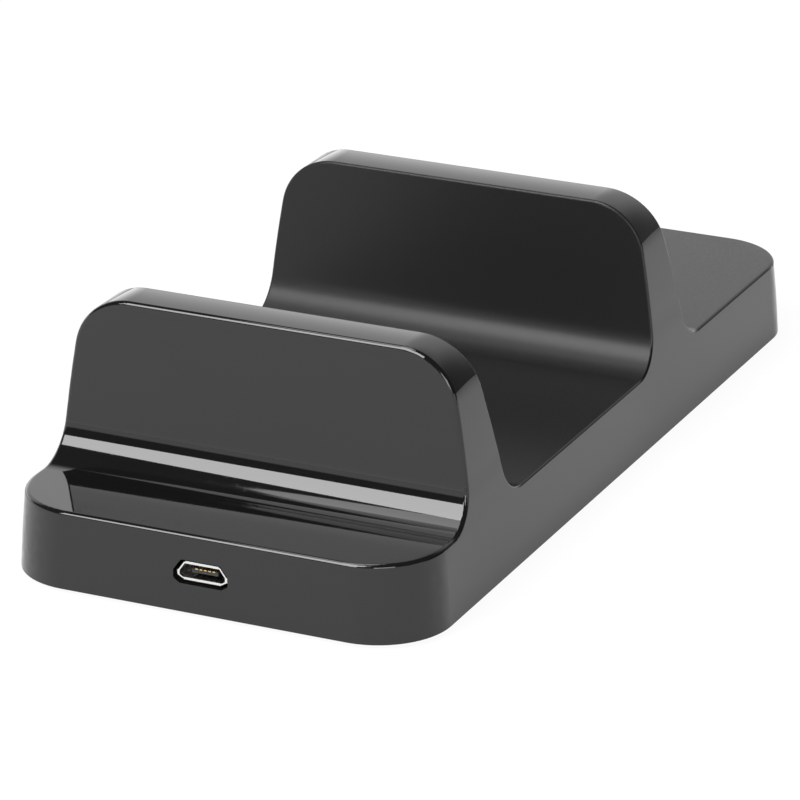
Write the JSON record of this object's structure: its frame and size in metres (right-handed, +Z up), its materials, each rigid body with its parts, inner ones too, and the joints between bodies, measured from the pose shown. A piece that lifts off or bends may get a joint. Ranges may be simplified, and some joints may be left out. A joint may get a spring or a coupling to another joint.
{
  "type": "controller charging dock",
  "caption": "Low black desk dock with a rounded base, upright fins that hold game controllers on charging plugs in a trough and on a rear deck, and a charging socket in the front face.",
  "frame": {"origin": "on the table, under the middle of the base", "axes": "+X to the right seen from the socket, +Y from the socket face to the rear deck, +Z up"},
  "size_m": [0.064, 0.1386, 0.0358],
  "materials": {
    "shell_plastic": "high gloss outside, satin in the trough",
    "cover_plastic": "fine matt",
    "pad_rubber": "matt",
    "screw_steel": "blackened zinc",
    "socket_steel": "nickel plated sheet",
    "insert_plastic": "matt",
    "contact_gold": "thin gold plate",
    "board_laminate": "glass laminate under green solder mask",
    "chip_epoxy": "moulded epoxy",
    "lead_tin": "tinned",
    "can_aluminium": "plain can on a dark base",
    "block_ceramic": "tan fired body",
    "resistor_ceramic": "dark glazed film",
    "carrier_plastic": "satin",
    "red_insulation": "soft satin",
    "black_insulation": "soft satin"
  },
  "bodies": {
    "root": {"upper_shell": "shell_plastic", "bottom_cover": "cover_plastic", "cover_screws": "screw_steel", "main_board": "board_laminate", "board_screws": "screw_steel", "socket_shell": "socket_steel", "socket_body": "insert_plastic", "socket_contacts": "contact_gold", "chip_leads": "lead_tin", "can_capacitor": "can_aluminium", "block_capacitors": "block_ceramic", "resistors": "resistor_ceramic", "charge_chip_left": "chip_epoxy", "charge_chip_right": "chip_epoxy", "plug_screws": "screw_steel", "foot_front_left": "pad_rubber", "foot_front_right": "pad_rubber", "wire_front_red": "red_insulation", "wire_front_black": "black_insulation", "plug_shell_front": "socket_steel", "plug_body_front": "insert_plastic", "plug_contacts_front": "contact_gold", "plug_carrier_front": "carrier_plastic", "plug_board_front": "board_laminate", "foot_rear_left": "pad_rubber", "foot_rear_right": "pad_rubber", "wire_rear_red": "red_insulation", "wire_rear_black": "black_insulation", "plug_shell_rear": "socket_steel", "plug_body_rear": "insert_plastic", "plug_contacts_rear": "contact_gold", "plug_carrier_rear": "carrier_plastic", "plug_board_rear": "board_laminate"}
  },
  "joints": []
}
